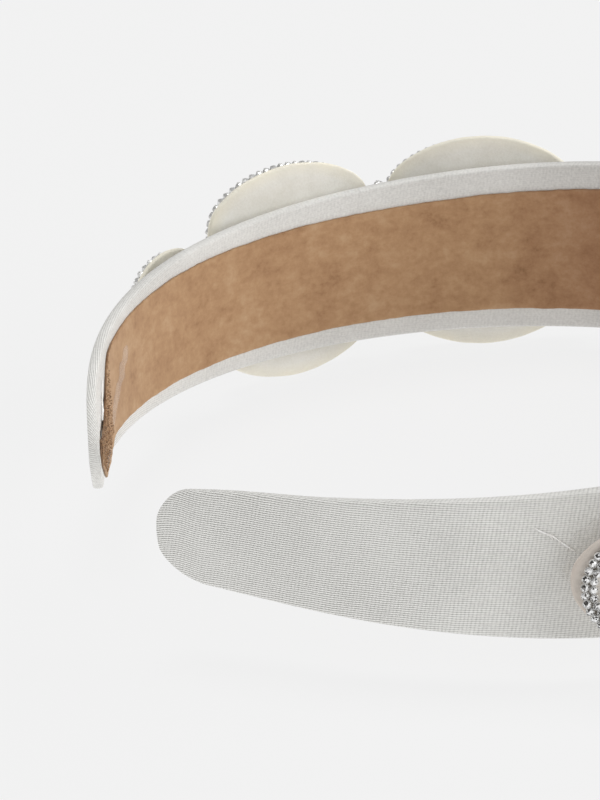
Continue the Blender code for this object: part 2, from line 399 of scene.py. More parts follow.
class Look:
    """A material, and helpers that add nodes to it."""

    def __init__(self, name):
        self.material = bpy.data.materials.new(name)
        self.material.use_nodes = True
        self.tree = self.material.node_tree
        self.shader = self.tree.nodes["Principled BSDF"]
        self.body = self.add("ShaderNodeTexCoord").outputs["Object"]

    def add(self, kind, links=(), inputs=(), **settings):
        """A node with linked inputs, constant inputs and its own settings."""
        node = self.tree.nodes.new(kind)
        for key, value in settings.items():
            setattr(node, key, value)
        for socket, value in dict(inputs).items():
            node.inputs[socket].default_value = value
        for socket, source in dict(links).items():
            self.tree.links.new(getattr(source, "socket", source), node.inputs[socket])
        return node

    def set(self, **values):
        """Sets the shader's own sockets: constants stay constants, and the rest is linked."""
        for name, value in values.items():
            socket = self.shader.inputs[name.replace("_", " ")]
            if isinstance(value, (Signal, bpy.types.NodeSocket)):
                self.tree.links.new(getattr(value, "socket", value), socket)
            else:
                socket.default_value = value

    def noise(self, scale, detail=3.0, roughness=0.55, where=None):
        constants = {"Scale": scale, "Detail": detail, "Roughness": roughness}
        node = self.add("ShaderNodeTexNoise", {"Vector": where or self.body}, constants)
        return Signal(node.outputs["Fac"])

    def place(self):
        """The surface coordinates of the mesh, in metres."""
        return self.add("ShaderNodeUVMap", uv_map="place").outputs["UV"]

    def along_and_across(self):
        split = self.add("ShaderNodeSeparateXYZ", {"Vector": self.place()})
        return Signal(split.outputs["X"]), Signal(split.outputs["Y"])

    def shade(self):
        """The number that the mesh gives each of its points or facets."""
        return Signal(self.add("ShaderNodeAttribute", attribute_name="shade").outputs["Fac"])

    def ramp(self, source, *stops):
        """A colour ramp through (position, colour) stops."""
        node = self.add("ShaderNodeValToRGB", {"Fac": source})
        elements = node.color_ramp.elements
        while len(elements) < len(stops):
            elements.new(0.5)
        for element, (position, colour) in zip(elements, stops):
            element.position = position
            element.color = (*colour, 1.0)
        return node.outputs["Color"]

    def mix(self, share, colour, other, blend="MIX"):
        sockets = {"Fac": share, "Color1": colour}
        node = self.add("ShaderNodeMixRGB", sockets, {"Color2": (*other, 1.0)}, blend_type=blend)
        return node.outputs["Color"]

    def bump(self, height, strength, distance):
        constants = {"Strength": strength, "Distance": distance}
        return self.add("ShaderNodeBump", {"Height": height}, constants).outputs["Normal"]


def satin_material():
    """A satin weave of close rows along the band, crossed by slightly slanted columns.

    The weave is crisp at the tips and fades towards the crown. Where it is crisp the cloth is
    also painted lighter, a painted light, and round the crown it is painted darker, a painted
    shade. The left arm shows half as much of the weave, and hardly any of the columns.
    """
    look = Look("satin")
    along, across = look.along_and_across()
    drift = look.noise(210.0)
    # The rows are lowered by less than their mean, so where the weave is crisp, towards the tips,
    # the cloth is painted lighter: painted light.
    rows = (across / SATIN_ROW + drift * 0.8).wave() ** 0.8 - 0.43
    columns = (along / SATIN_COLUMN + across / SATIN_SLANT + drift * 0.6).wave() - 0.906
    crisp = ((abs(along) - 0.125) / 0.045).clamped() * 1.10 + 0.11
    crisp = crisp * (((0.02 - along) / 0.04).clamped() * 0.5 + 0.5)
    slanted = ((-0.100 - along) / 0.02).clamped() * 0.20 + 0.05
    weave = rows * crisp + columns * slanted
    yarn = look.noise(2600.0, 1.0, 0.5)
    tone = look.noise(55.0)
    fade = look.noise(150.0) * 0.9 + 0.40
    shade = weave * fade + (yarn - 0.5) * 0.35 + (tone - 0.5) * 0.35 + 0.5
    dark, mid, light = (0.34, 0.335, 0.315), (0.71, 0.70, 0.67), (0.97, 0.965, 0.93)
    cloth = look.ramp(shade, (0.02, dark), (0.50, mid), (0.90, light))
    # Painted shade: the cloth is darkened round the crown.
    painted_crown_shade = ((0.085 - abs(along)) / 0.05).clamped()
    look.set(
        Base_Color=look.mix(painted_crown_shade, cloth, (0.88, 0.87, 0.87), "MULTIPLY"),
        Normal=look.bump(weave, 0.8, 0.00009),
        Roughness=weave * -0.12 + 0.54,
        Specular_IOR_Level=0.30,
        Sheen_Weight=0.10,
        Sheen_Roughness=0.4,
    )
    return look.material


def suede_material():
    """Tan suede with blotches and a fine nap, darker at cut edges; painted shade makes the crown
    darker and redder.
    """
    look = Look("suede")
    along, _ = look.along_and_across()
    streaked = look.add(
        "ShaderNodeVectorMath", {0: look.place()}, {1: (300.0, 430.0, 1.0)}, operation="MULTIPLY"
    ).outputs[0]
    streaks = look.noise(1.0, 3.0, 0.6, streaked)
    patches = look.noise(120.0)
    nap = look.noise(1100.0, 2.0, 0.75)
    tan = look.ramp(
        (nap - 0.5) * 0.42 + (streaks - 0.5) * 0.75 + (patches - 0.5) * 0.60 + 0.5,
        (0.10, (0.24, 0.125, 0.058)),
        (0.35, (0.39, 0.222, 0.116)),
        (0.55, (0.46, 0.277, 0.149)),
        (0.85, (0.55, 0.365, 0.220)),
    )
    # Painted shade: the suede is darkened and reddened round the crown.
    painted_crown_shade = ((0.074 - abs(along)) / 0.036).clamped()
    tan = look.mix(painted_crown_shade, tan, (0.60, 0.47, 0.47), "MULTIPLY")
    look.set(
        Base_Color=look.mix(look.shade(), tan, (0.10, 0.05, 0.03)),
        Normal=look.bump(nap, 0.35, 0.00010),
        Roughness=0.95,
        Specular_IOR_Level=0.15,
        Sheen_Weight=0.35,
        Sheen_Tint=(1.0, 0.86, 0.7, 1.0),
    )
    return look.material


def felt_material(name, dark, light, edge):
    """Felt with soft patches, tinted in an uneven band along its rim."""
    look = Look(name)
    patches = look.noise(210.0)
    fibres = look.noise(2600.0, 2.0, 0.7)
    felt = look.ramp(patches * 0.6 + fibres * 0.4, (0.3, dark), (0.7, light))
    look.set(
        Base_Color=look.mix(look.shade() * patches, felt, edge),
        Normal=look.bump(fibres, 0.5, 0.0001),
        Roughness=0.95,
        Specular_IOR_Level=0.2,
        Sheen_Weight=0.2,
    )
    return look.material


def crystal_material():
    """Foil-backed crystal: each facet is painted as dark or as bright as its own random shade says,
    a painted reflection with painted glints.
    """
    look = Look("crystal")
    sparkle = look.noise(1500.0, 1.0, 0.5)
    # Painted reflection: black, grey and white facets stand in for what the stones reflect, the
    # white ones for glints.
    colour = look.ramp(
        look.shade() + (sparkle - 0.5) * 0.35,
        (0.10, (0.03, 0.026, 0.022)),
        (0.24, (0.16, 0.145, 0.13)),
        (0.38, (0.78, 0.78, 0.78)),
        (0.60, (1.0, 1.0, 1.0)),
    )
    look.set(
        Base_Color=colour,
        Roughness=sparkle * 0.1 + 0.03,
        Metallic=0.25,
        Coat_Weight=1.0,
        Coat_Roughness=0.03,
    )
    return look.material


def silver_material():
    """Bright silver plating, a little tarnished."""
    look = Look("silver_cup")
    tarnish = look.noise(900.0)
    look.set(
        Base_Color=look.ramp(tarnish, (0.3, (0.66, 0.65, 0.63)), (0.7, (0.92, 0.92, 0.91))),
        Roughness=tarnish * 0.25 + 0.22,
        Metallic=0.65,
    )
    return look.material


def pearl_material():
    """Cream pearl with a clear lustre, and a painted sheen: lighter where its surface turns away
    from the view.
    """
    look = Look("pearl")
    cloud = look.noise(320.0)
    # Painted sheen: the colour is lighter where the surface turns away from the view.
    painted_rim_sheen = Signal(look.add("ShaderNodeLayerWeight", inputs={"Blend": 0.35}).outputs["Facing"])
    light = cloud * 0.5 + painted_rim_sheen * 0.5
    look.set(
        Base_Color=look.ramp(light, (0.2, (0.80, 0.76, 0.67)), (0.75, (0.88, 0.83, 0.77))),
        Roughness=cloud * 0.12 + 0.14,
        Coat_Weight=0.6,
        Coat_Roughness=0.08,
        Subsurface_Weight=0.15,
        Subsurface_Radius=(0.001, 0.0008, 0.0006),
    )
    return look.material


def glue_material(name, alpha, gloss):
    """Set hot glue: milky and glossy, and see-through where it is a thin film."""
    look = Look(name)
    haze = look.noise(700.0)
    look.set(
        Base_Color=look.ramp(haze, (0.3, (0.84, 0.81, 0.76)), (0.7, (0.97, 0.96, 0.95))),
        Roughness=haze * 0.2 + gloss,
        Normal=look.bump(haze, 0.3, 0.0001),
        Alpha=alpha,
    )
    return look.material


def plastic_material():
    look = Look("core_plastic")
    cloud = look.noise(400.0)
    look.set(
        Base_Color=look.ramp(cloud, (0.3, (0.80, 0.80, 0.78)), (0.7, (0.87, 0.87, 0.85))),
        Roughness=0.45,
    )
    return look.material


MATERIALS = {
    "satin": satin_material(),
    "suede": suede_material(),
    "felt": felt_material("felt", (0.80, 0.775, 0.70), (0.93, 0.915, 0.86), (0.90, 0.84, 0.66)),
    "glued_felt": felt_material(
        "glued_felt", (0.62, 0.575, 0.52), (0.80, 0.76, 0.70), (0.58, 0.48, 0.41)
    ),
    "crystal": crystal_material(),
    "silver_cup": silver_material(),
    "pearl": pearl_material(),
    "clear_glue": glue_material("clear_glue", 1.0, 0.12),
    "glue_film": glue_material("glue_film", 0.08, 0.40),
    "core_plastic": plastic_material(),
}


# ---- the covered band


def fuller(s):
    """How much more the upper corner of the right tip stands out than an even rounding would."""
    if s > 0:
        return 1.0
    t = to_tip(s)
    shape = rounding(t, BLUNT) / max(rounding(t, TIP_ROUND), 1e-4)
    return shape * (1 + FULLER * smooth((FULLER_TO - t) / FULLER_OVER))


def cover_section(s):
    """(out, z) points of the satin's outer side: a fold, an edge, the outer face, and back."""
    wide, thick = cloth_half_width(s), thickness(s)
    edge = min(EDGE, wide * 0.45)
    fold = max(wide - FOLD, min(SEAM, wide * 0.06))
    side = wide - edge
    inner = [(0.0, fold + (side - fold) * i / 5) for i in range(5)]
    turns = [math.radians(-90 + 18 * i) for i in range(11)]
    rim = []
    for a in turns:
        bulge = math.copysign(abs(math.sin(a)) ** 0.8, math.sin(a))
        reach = math.cos(a) ** 0.7 if math.cos(a) > 1e-6 else 0.0
        rim.append((thick / 2 * (1 + bulge), side + edge * reach))
    outer = [(thick, side * (1 - i / 8)) for i in range(1, 9)]
    upper = inner + rim + outer
    lower = [(out, -z) for out, z in upper[-2::-1]]
    upper_part = fuller(s)
    crowned = []
    for out, z in upper + lower:
        on_top = out > thick * 0.99 and abs(z) < side
        swell = CROWNING * (1 - (z / max(side, 1e-6)) ** 2) if on_top else 0.0
        crowned.append((out + min(swell, thick * 0.1), z * upper_part if z > 0 else z))
    return crowned


def lining_of(section, s):
    """The inner side of the cloth, as far in as the cloth is thick."""
    wide, thick = cloth_half_width(s), thickness(s)
    cloth = min(SATIN, thick / 4, wide / 4)
    middle = thick / 2
    flatten, narrow = 1 - 2 * cloth / thick, 1 - cloth / wide
    return [(middle + (out - middle) * flatten, z * narrow) for out, z in section]


def arc_lengths(section):
    """Distance across the cloth from the middle of the outer face to each point."""
    steps = [math.dist(a, b) for a, b in zip(section, section[1:])]
    total = np.concatenate([[0.0], np.cumsum(steps)])
    return [float(v) for v in total - total[-1] / 2]


def make_cover(side, tip):
    build = Build()
    rings = []
    for s in stations(tip * 0.99999, 0.0012):
        section = cover_section(s)
        across = arc_lengths(section)
        whole = section + lining_of(section, s)[::-1]
        cos = [cloth_at(s, out, z) for out, z in whole]
        rings.append(build.loop(cos, [(s, v) for v in across + across[::-1]]))
    build.tube(rings, capped=False)
    half = len(rings[0]) // 2
    for ring in (rings[0], rings[-1][::-1]):
        for i in range(half - 1):
            build.faces.append((ring[i + 1], ring[i], ring[-1 - i], ring[-2 - i]))
    return build.make("satin_" + side, "satin")


def grown(margins, s):
    start, end = MARGIN_GROWS
    return margins[0] + (margins[1] - margins[0]) * smooth((to_tip(s) - start) / (end - start))


def lining_edges(s):
    """Heights of the lining's two edges at s."""
    wide = cloth_half_width(s)
    high = wide - grown(TOP_MARGIN, s)
    low = -wide + grown(LOW_MARGIN, s)
    if s < 0:
        t = to_tip(s) - LINING_END["right"]
        share = rounding(max(t, 0.0), ROUNDED)
        middle = (high + low) / 2
        return middle + (low - middle) * share, middle + (high - middle) * share
    high -= smooth((s - ASKEW[0]) / (ASKEW[1] - ASKEW[0])) * (high - ASKEW_HIGH)
    lump_from, lump_over, lump_high = LUMP
    high += lump_high * smooth((s - lump_from) / lump_over)
    low_over, past = ASKEW_LOW
    low += smooth((s - ASKEW[0]) / low_over) * (-wide - past - low)
    tongue = TONGUE_LOW + sum(max(s - start, 0.0) * slope for start, slope in TONGUE_SLOPES)
    low = max(low, tongue) if s > TONGUE_FROM else low
    closing = smooth((LEFT_ARM - LINING_END["left"] - s) / CLOSING)
    return low, low + (high - low) * max(closing, BLUNT_END)


LOW_SEED, HIGH_SEED = 1.7, 5.1  # of the lining's two edges


def edge_noise(s, seed):
    """How far a cut edge strays from its line."""
    return 0.00009 * wander(s * 900, seed=seed) + 0.00012 * wander(s * 230, seed=seed + 1.2)


def make_lining(side, tip):
    """The suede ribbon: a thin slab with rounded, unevenly cut edges, frayed at the left end."""
    build = Build()
    profile = [(-1.0, 0.0), (-1.0, 0.6), (-0.985, 1.0)]
    profile += [(-0.95 + 1.9 * i / 12, 1.0) for i in range(13)]
    profile += [(0.985, 1.0), (1.0, 0.6), (1.0, 0.0)]
    profile += [(0.95 - 1.9 * i / 6, 0.0) for i in range(7)]
    rings = []
    sign = 1 if tip > 0 else -1
    for s in stations(tip - sign * LINING_END[side] * 1.0001, 0.0009):
        low, high = lining_edges(s)
        low += edge_noise(s, LOW_SEED)
        high += edge_noise(s, HIGH_SEED)
        fray = smooth((s - FRAYED_FROM) / FRAYED_OVER)
        cos, places, shades = [], [], []
        for across, up in profile:
            z = (low + high) / 2 + across * (high - low) / 2
            nap = (0.00003 + 0.00006 * fray) * wander(s * 1200, z * 1200, seed=8.0)
            cos.append(cloth_at(s, -SUEDE_OFF - up * (SUEDE + nap), z))
            places.append((s, z))
            worn = 0.5 + 0.5 * wander(s * 700, seed=3.3)
            rim = (high - z if across > 0 else (z - low) * 2.5) / (0.00012 + 0.0003 * fray * worn)
            dotted = 0.5 + 0.5 * wander(s * 900, z * 40, seed=7.9)
            shades.append(min(1.0, max(0.0, 1 - rim) * (0.20 + 0.80 * fray * dotted)))
        rings.append(build.loop(cos, places, shades))
    build.tube(rings)
    if side == "left":
        add_fibres(build)
        add_tufts(build)
    return build.make("suede_" + side, "suede")


def add_tufts(build, count=1500):
    """The raised nap of the lining's worn left end: short spikes all over it, some of them dark."""
    rng = np.random.default_rng(43)
    thick = 0.00010
    surface = -SUEDE_OFF - SUEDE
    for _ in range(count):
        s = TUFTS[0] + (TUFTS[1] - TUFTS[0]) * float(rng.random())
        low, high = lining_edges(s)
        z = low + (high - low) * (0.12 + 0.88 * float(rng.random()))
        dark = 0.95 * float(rng.random()) ** 1.5
        height = 0.00008 + 0.00022 * float(rng.random())
        lean_s, lean_z = (0.00012 * float(v) for v in rng.normal(size=2))
        foot = [(s - thick, -thick), (s + thick, -thick), (s, thick)]
        base = [cloth_at(x, surface + 0.00005, z + v) for x, v in foot]
        top = cloth_at(s + lean_s, surface - height, z + lean_z)
        build.spike([*base, top], (s, z), dark)


def add_fibres(build, count=200):
    """Loose threads along the frayed upper edge of the lining's left end: thin spikes."""
    rng = np.random.default_rng(41)
    last = LEFT_ARM - LINING_END["left"]
    thick = 0.000035
    for _ in range(count):
        s = FRAYED_FROM + (last - FRAYED_FROM) * float(rng.random()) ** 0.8
        high = lining_edges(s)[1] + edge_noise(s, HIGH_SEED)
        reach = 0.00015 + 0.0004 * float(rng.random())
        lean = 0.0005 * float(rng.normal())
        rise = SUEDE * (0.3 + 0.9 * float(rng.random()))
        foot = [(s - thick, 0.0, -thick), (s + thick, 0.0, -thick), (s, -thick, 0.0)]
        base = [at(x, -SUEDE_OFF - rise + out, high - 0.0001 + z) for x, out, z in foot]
        tip_point = at(s + lean, -SUEDE_OFF - rise * 0.8, high + reach)
        build.spike([*base, tip_point], (0.0, 0.0), 0.3 + 0.65 * float(rng.random()))


def make_core(side, tip):
    """The plastic strip inside, which fills the cover."""
    build = Build()
    rings = []
    sign = 1 if tip > 0 else -1
    for s in stations(tip - sign * CORE_END, 0.002):
        wide, thick = half_width(s) - CORE_INSET, thickness(s)
        low, high = CORE_INSET, thick - CORE_INSET
        edge = min(0.0004, wide * 0.4)
        section = [(low, wide - edge), ((low + high) / 2, wide), (high, wide - edge)]
        section += [(high, -wide + edge), ((low + high) / 2, -wide), (low, -wide + edge)]
        rings.append(build.loop([cloth_at(s, out, z) for out, z in section]))
    build.tube(rings)
    return build.make("plastic_" + side, "core_plastic", faceted=True)


def fit(piece, side, node):
    """Bakes the piece's transform into its mesh, and hides the CAD parts that it stands in for."""
    start, end = Vector((BLEND_FROM, 0.0, 0.0)), Vector((BLEND_TO, 0.0, 0.0))
    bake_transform(piece)
    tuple(start)
    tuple(end)
    parts = ("_crown", "_left") if side == "left" else ("_right",)
    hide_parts(*[node + part for part in parts])


def declare_sheet(cut, length):
    """Works out the area of a ribbon of this length, whose width was sampled evenly along it; the
    area is not kept.
    """
    area = sum(cut) / len(cut) * length


def add_band():
    for side, tip in (("left", LEFT_ARM), ("right", -RIGHT_ARM)):
        length = abs(tip)
        places = [tip * (i + 0.5) / 200 for i in range(200)]

        cover = make_cover(side, tip)
        fit(cover, side, "satin_cover")
        cut = [2 * (half_width(s) + thickness(s) + min(FOLD, half_width(s))) for s in places]
        declare_sheet(cut, length)

        lining = make_lining(side, tip)
        fit(lining, side, "suede_lining")
        edges = [lining_edges(s) for s in places if to_tip(s) > LINING_END[side]]
        cut = [high - low for low, high in edges]
        declare_sheet(cut, length - LINING_END[side])

        fit(make_core(side, tip), side, "core")


# ---- medallions


def ellipse(a, b, count):
    turns = [2 * math.pi * (i + 0.5) / count - math.pi / 2 for i in range(count)]
    return [(a * math.cos(t), b * math.sin(t)) for t in turns]


def clipped(a, b, ends):
    """An ellipse whose right and left ends are pulled in smoothly to how far each may reach."""
    power = a / CORNER
    points = []
    for x, z in ellipse(a, b, 96):
        reach = ends[1] if x > 0 else ends[0]
        points.append((x / (1 + abs(x / reach) ** power) ** (1 / power), z))
    return points


def middle_and_half(outline):
    """Where an outline's middle is along the band, and its half length."""
    low, high = min(x for x, _ in outline), max(x for x, _ in outline)
    return (low + high) / 2, (high - low) / 2


def inset(outline, depth):
    """The outline moved inward by a distance."""
    middle, a = middle_and_half(outline)
    b = max(z for _, z in outline)
    return [(middle + (x - middle) * (a - depth) / a, z * (b - depth) / b) for x, z in outline]


def lengths_along(outline):
    """The closed outline, and the distance along it to each of its points."""
    ring = np.array([*outline, outline[0]])
    steps = np.linalg.norm(np.diff(ring, axis=0), axis=1)
    return ring, np.concatenate([[0.0], np.cumsum(steps)])


def resampled(outline, count):
    """The closed outline again, with this many points evenly spaced along it."""
    ring, steps = lengths_along(outline)
    where = np.linspace(0.0, steps[-1], count, endpoint=False)
    return list(zip(np.interp(where, steps, ring[:, 0]), np.interp(where, steps, ring[:, 1])))


def medallion_frame(s, z):
    """Turns (along, up) and a distance from the band's inner face into a point."""
    centre, angle = at(s), turn(s)
    along = Vector((-math.sin(angle), math.cos(angle), 0.0))
    outward = Vector((math.cos(angle), math.sin(angle), 0.0))

    def place(p, out):
        return centre + along * p[0] + outward * out + Vector((0.0, 0.0, z + p[1]))

    return place


def row():
    """Places of all the medallions along the band, from the right end one to the left end one."""
    offsets = {v * sign for v in (*LARGE_AT, END_AT) for sign in (1, -1)}
    return [ROW_AT + v for v in sorted(offsets)]


def meeting_plane(s, next_s):
    """Distance along a large medallion's own plane to where it meets the next one's."""
    half_turn = abs(turn(next_s) - turn(s)) / 2
    chord = (at(next_s) - at(s)).length / 2
    return chord / math.cos(half_turn) + (BAND_THICKNESS + LIFT) * math.tan(half_turn)


def edge_of_end(s, end_s):
    """Distance along a large medallion's own plane to the end medallion beside it."""
    way = 1 if end_s > s else -1
    along = Vector((-math.sin(turn(s)), math.cos(turn(s)), 0.0)) * way
    edge = medallion_frame(end_s, 0.0)((-way * END_CUT, 0.0), BAND_THICKNESS + END_LIFT)
    return (edge - at(s)).dot(along)


def reaches(s):
    """How far the medallion at s may reach to the right and to the left."""
    places = row()
    i = places.index(s)
    if i == 0:
        return END_FELT[0] * 2, END_CUT
    if i == len(places) - 1:
        return END_CUT, END_FELT[0] * 2
    found = []
    for j in (i - 1, i + 1):
        if j in (0, len(places) - 1):
            found.append(edge_of_end(s, places[j]) - CLEARANCE)
            continue
        crosses_hinge = min(abs(s), abs(places[j])) < HINGE < max(abs(s), abs(places[j]))
        gap = HINGE_CLEARANCE if crosses_hinge else CLEARANCE
        found.append(meeting_plane(s, places[j]) - gap)
    return tuple(found)


def make_felt(label, outline, low, place, seed, look):
    """A felt disc with a softly rounded, slightly wavy cut rim."""
    outline = resampled(outline, 160)
    wobble = [0.00007 * wander(x * 420, z * 420, seed=seed) for x, z in outline]
    grow = [1 + w / math.hypot(x, z) for (x, z), w in zip(outline, wobble)]
    outline = [(x * f, z * f) for (x, z), f in zip(outline, grow)]
    high = low + FELT
    soft = FELT * 0.42
    reach = max(max(x for x, _ in outline), max(z for _, z in outline))
    inner = [reach * share for share in (0.86, 0.7, 0.5, 0.3, 0.12)]
    inner = [depth for depth in inner if depth > FELT_RIM + 0.0002]
    rim = [(FELT_RIM, 0.0), (0.0012, 0.0), (soft, 0.0)]
    rim += [(soft * (1 - math.sin(a)), soft * (1 - math.cos(a))) for a in (0.5, 1.05, 1.571)]
    build = Build()

    def ring(depth, out, face):
        cos, shades = [], []
        for x, z in inset(outline, depth):
            lump = 0.00006 * wander(x * 300, z * 300, out * 900, seed=seed) * face
            cos.append(place((x, z), out + lump))
            shades.append(max(0.0, 1 - depth / FELT_RIM))
        return build.loop(cos, list(inset(outline, depth)), shades)

    rings = [ring(depth, low, 1.0) for depth in inner]
    rings += [ring(depth, low + up, 0.5) for depth, up in rim]
    rings += [ring(depth, high - up, 0.5) for depth, up in rim[::-1]]
    rings += [ring(depth, high, 1.0) for depth in inner[::-1]]
    build.tube(rings, capped=False)
    for ends in (rings[0], rings[-1][::-1]):
        middle = build.point(sum((Vector(build.points[i]) for i in ends), Vector()) / len(ends))
        for i in range(len(ends)):
            build.faces.append((ends[(i + 1) % len(ends)], ends[i], middle))
    return build.make("felt_" + label, look)


PEARL_TURNS = [math.pi / 2 * i / 11 for i in range(11)]


def make_pearl(label, size, low, place):
    """A half pearl: an oval dome on a flat back."""
    a, b, height = size
    sides = 48
    build = Build()
    rings = []
    for share, shrink in [(0.0, 0.97)] + [(math.sin(v), math.cos(v)) for v in PEARL_TURNS]:
        oval = ellipse(a * shrink, b * shrink, sides)
        rings.append(build.loop([place(p, low + height * share) for p in oval]))
    build.tube(rings, capped=False)
    top = build.point(place((0.0, 0.0), low + height))
    for i in range(sides):
        build.faces.append((rings[-1][i], rings[-1][(i + 1) % sides], top))
    build.faces.append(tuple(rings[0][::-1]))
    return build.make("pearl_" + label, "pearl", sharp=50)


def polygon(radius, sides, offset=0.0):
    turns = [2 * math.pi * (i + offset) / sides for i in range(sides)]
    return [(radius * math.cos(t), radius * math.sin(t)) for t in turns]


def add_stone(build, frame_at, rng):
    """A cut stone: a girdle, crown facets, and a table cut into facets whose painted shades stand
    in for its back facets seen through it.
    """
    base, girdle, table = CUP_HEIGHT * 0.8, CUP_HEIGHT + 0.0001, CUP_HEIGHT + 0.00042

    def facet(points):
        # A random shade for each facet, which the crystal paints as a reflection.
        shade = float(rng.random())
        corners = [build.point(frame_at(*point), shade=shade) for point in points]
        build.faces.append(tuple(corners))

    low = [(x, z, base) for x, z in polygon(STONE * 0.9, CUTS)]
    mid = [(x, z, girdle) for x, z in polygon(STONE, CUTS)]
    top = [(x, z, table) for x, z in polygon(STONE * 0.60, CUTS, 0.5)]
    centre = (0.0, 0.0, table - 0.00004)
    for i in range(CUTS):
        j = (i + 1) % CUTS
        facet([low[i], low[j], mid[j], mid[i]])
        facet([mid[i], mid[j], top[i]])
        facet([top[i], mid[j], top[j]])
        facet([top[i], top[j], centre])
    facet(low[::-1])


def add_cup(build, frame_at):
    """The metal cup under a stone, with four prongs bent over its edge."""
    wall = [(STONE * 0.80, 0.0), (STONE * 1.10, CUP_HEIGHT * 0.45), (STONE * 1.16, CUP_HEIGHT)]
    wall += [(STONE * 1.04, CUP_HEIGHT), (STONE * 0.95, CUP_HEIGHT * 0.7)]
    rings = [build.loop([frame_at(x, z, out) for x, z in polygon(r, 8, 0.5)]) for r, out in wall]
    build.tube(rings)
    for quarter in range(4):
        turned = math.pi / 2 * (quarter + 0.5)
        c, s = math.cos(turned), math.sin(turned)
        prong = []
        for near, far, out, wide in (
            (1.02, 1.16, CUP_HEIGHT * 0.8, 0.20),
            (1.02, 1.13, CUP_HEIGHT + 0.00014, 0.17),
            (0.80, 0.90, CUP_HEIGHT + 0.00030, 0.10),
        ):
            corners = [(near, -wide), (far, -wide), (far, wide), (near, wide)]
            corners = [(STONE * (x * c - y * s), STONE * (x * s + y * c)) for x, y in corners]
            prong.append(build.loop([frame_at(x, z, out) for x, z in corners]))
        build.tube(prong)


def tilted_frame(place, centre, foot, rng, tilt=0.07):
    """Places points of one stone, which sits a little crooked."""
    lean_x, lean_z = rng.uniform(-tilt, tilt, 2)
    turned = rng.uniform(0.0, math.pi / 4)
    c, s = math.cos(turned), math.sin(turned)

    def frame_at(x, z, out):
        x, z = x * c - z * s, x * s + z * c
        return place((centre[0] + x, centre[1] + z), foot + out + lean_x * x + lean_z * z)

    return frame_at


def make_chain(label, outline, margin, foot, place, rng):
    """Two rows of stones in cups, side by side round the medallion."""
    cups, stones = Build(), Build()
    shift = CHAIN_SHIFT.get(label, (0.0, 0.0))
    outline = [(x + shift[0], z + shift[1]) for x, z in outline]
    for ring in range(2):
        path = inset(resampled(outline, 200), margin + STONE * 1.25 + ring * PITCH)
        count = round(float(lengths_along(path)[1][-1]) / PITCH)
        for centre in resampled(path, count):
            frame_at = tilted_frame(place, centre, foot, rng)
            add_cup(cups, frame_at)
            add_stone(stones, frame_at, rng)
    return make_stones(cups, "cups_" + label, stones, "stones_" + label)


def make_stones(cups, cups_name, stones, stones_name):
    return (
        cups.make(cups_name, "silver_cup", faceted=True, outward=False),
        stones.make(stones_name, "crystal", faceted=True, outward=False),
    )


def make_glue(label, size, s, z, high, place, seed):
    """A dab of glue squeezed between the band and a felt."""
    build = Build()
    rings = []
    shape = ((1.12, 0.0), (1.0, 0.15), (0.9, 0.45), (0.92, 0.75), (1.08, 1.0))
    for factor, rise in shape:
        cos = []
        for x, y in ellipse(size[0], size[1], 40):
            swell = factor * (1 + 0.12 * wander(x * 260, y * 260, rise, seed=seed))
            foot = at(s + x * swell, thickness(s) + SEAT, z + y * swell)
            cos.append(foot.lerp(place((x * swell, y * swell), high - SEAT), rise))
        rings.append(build.loop(cos))
    build.tube(rings)
    return build.make("glue_" + label, "clear_glue", sharp=50)


def wedged(outline):
    """The right end felt: it runs out into a blunt wedge, and sits high behind its stones."""
    low, high = min(x for x, _ in outline), max(z for _, z in outline)
    points = []
    for x, z in outline:
        share = max(x / low, 0.0)
        points.append((x - WEDGE * share**2 * (1 + z / high), z * WEDGE_FLAT + WEDGE_HIGH))
    return points


def add_medallion(label, s, z, outline, margin, lift, pearl, body, number):
    place = medallion_frame(s, z)
    rng = np.random.default_rng(100 + number)
    felt_low = BAND_THICKNESS + lift
    foot = felt_low + FELT + SEAT
    middle, half_length = middle_and_half(outline)

    def place_middle(p, out):
        return place((p[0] + middle, p[1]), out)

    soaked = label == "right_end"  # glue has soaked through this felt
    felt_outline, look = (wedged(outline), "glued_felt") if soaked else (outline, "felt")
    felt = make_felt(label, felt_outline, felt_low, place, number * 1.37, look)
    cups, stones = make_chain(label, outline, margin, foot, place, rng)
    dome = make_pearl(label, pearl, foot, place_middle)
    size = (0.4 * half_length, 0.5 * max(v for _, v in outline))
    glue = make_glue(label, size, s, z, felt_low, place, seed=number * 2.11)
    for piece, node, finish in (
        (felt, "felt_backing_", "felt"),
        (cups, "rhinestone_chain_", "silver_cup"),
        (stones, None, "crystal"),
        (dome, "half_pearl_", "pearl"),
        (glue, "glue_pad_", "clear_glue"),
    ):
        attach(piece, body)
        if node:
            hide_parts(node + label)


def add_filler(side, edge, s, up, number):
    """A single stone in its cup, on a peg of glue, in the notch between two medallions."""
    label, body = f"{side}_{edge}", "arm_" + side
    z = up * (half_width(s) - FILLER_DROP + FILLER_OUT)
    place = medallion_frame(s, z)
    rng = np.random.default_rng(300 + number)
    cups, stones = Build(), Build()
    foot = BAND_THICKNESS + LIFT - 0.0002
    frame_at = tilted_frame(place, (0.0, 0.0), foot, rng)

    def scaled(x, z, out):
        return frame_at(x * LARGER, z * LARGER, out * LARGER)

    add_cup(cups, scaled)
    add_stone(stones, scaled, rng)
    cup, stone = make_stones(cups, "notch_cup_" + label, stones, "notch_stone_" + label)
    peg = make_glue("notch_" + label, (PEG, PEG), s, z, foot, place, number * 0.71)
    for piece, finish in ((cup, "silver_cup"), (stone, "crystal"), (peg, "clear_glue")):
        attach(piece, body)
    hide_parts("filler_stone_" + label)


def add_large_medallions(label, body, places, number):
    for i, s in enumerate(places, 1):
        outline = clipped(*LARGE, reaches(s))
        add_medallion(f"{label}_{i}", s, 0.0, outline, FELT_MARGIN, LIFT, PEARL, body, number + i)


